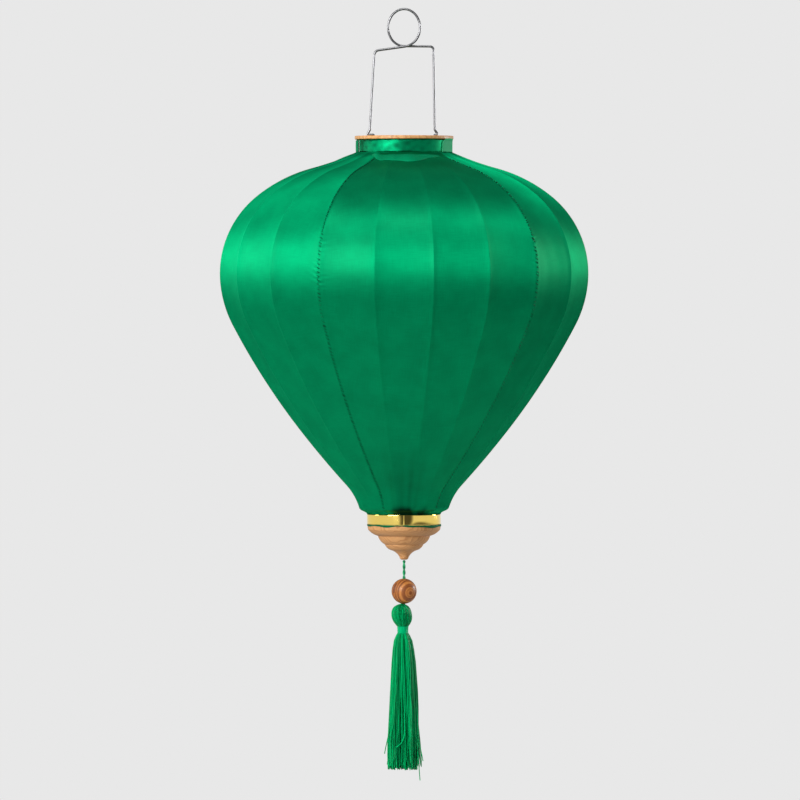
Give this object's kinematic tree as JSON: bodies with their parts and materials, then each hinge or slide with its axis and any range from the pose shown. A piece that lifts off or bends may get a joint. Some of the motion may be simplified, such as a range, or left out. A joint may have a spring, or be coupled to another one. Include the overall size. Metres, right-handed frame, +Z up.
{
  "type": "folding silk lantern",
  "caption": "Hanging silk lantern, satin over bowed bamboo ribs between a wood ring and hub, with a wire hanger, turned finial, bead and tassel.",
  "frame": {"origin": "inside top of the hanger wire's eye, where a hook bears, on the lantern's axis", "axes": "+Z up along the lantern's axis, -Y the front, +X to the right seen from the front"},
  "size_m": [0.3496, 0.3496, 0.727],
  "materials": {
    "wire": "galvanised, satin",
    "wood": "turned, bare, fine grain",
    "bead": "turned and varnished",
    "bamboo": "split bamboo",
    "silk": "satin weave",
    "ribbon": "satin ribbon",
    "gold_tape": "polished gold tape",
    "thread": "cotton thread",
    "cord": "twisted two-ply cord",
    "tassel": "rayon threads"
  },
  "bodies": {
    "lantern": {"hanger_wire": "wire", "top_ring": "wood", "top_lacing": "thread", "collar_ribbon": "ribbon", "rib_01": "bamboo", "rib_02": "bamboo", "rib_03": "bamboo", "rib_04": "bamboo", "rib_05": "bamboo", "rib_06": "bamboo", "rib_07": "bamboo", "rib_08": "bamboo", "rib_09": "bamboo", "rib_10": "bamboo", "rib_11": "bamboo", "rib_12": "bamboo", "rib_13": "bamboo", "rib_14": "bamboo", "rib_15": "bamboo", "rib_16": "bamboo", "rib_17": "bamboo", "rib_18": "bamboo", "rib_19": "bamboo", "rib_20": "bamboo", "silk_gore_1": "silk", "silk_gore_2": "silk", "silk_gore_3": "silk", "silk_gore_4": "silk", "silk_gore_5": "silk", "bottom_hub": "wood", "bottom_lacing": "thread", "gold_band": "gold_tape", "finial": "wood", "stopper_knot": "cord", "inner_cord": "cord"},
    "cord_bend": {"cord_bend": "cord"},
    "pendant": {"pendant_cord": "cord"},
    "bead": {"wood_bead": "bead"},
    "tassel": {"tassel_head": "tassel", "neck_wrap": "tassel", "tassel_skirt": "tassel"}
  },
  "joints": [
    {"name": "pendant_swing_x", "type": "hinge", "parent": "lantern", "child": "cord_bend", "pos_m": [0, 0, -0.52505], "axis": [1, 0, 0], "range_deg": [-60, 60]},
    {"name": "pendant_swing_y", "type": "hinge", "parent": "cord_bend", "child": "pendant", "pos_m": [0, 0, -0.52505], "axis": [0, 1, 0], "range_deg": [-60, 60]},
    {"name": "bead_slide", "type": "slide", "parent": "pendant", "child": "bead", "axis": [0, 0, 1], "range_m": [0, 0.0135]},
    {"name": "tassel_twist", "type": "hinge", "parent": "pendant", "child": "tassel", "pos_m": [0, 0, -0.573], "axis": [0, 0, 1], "continuous": true}
  ]
}
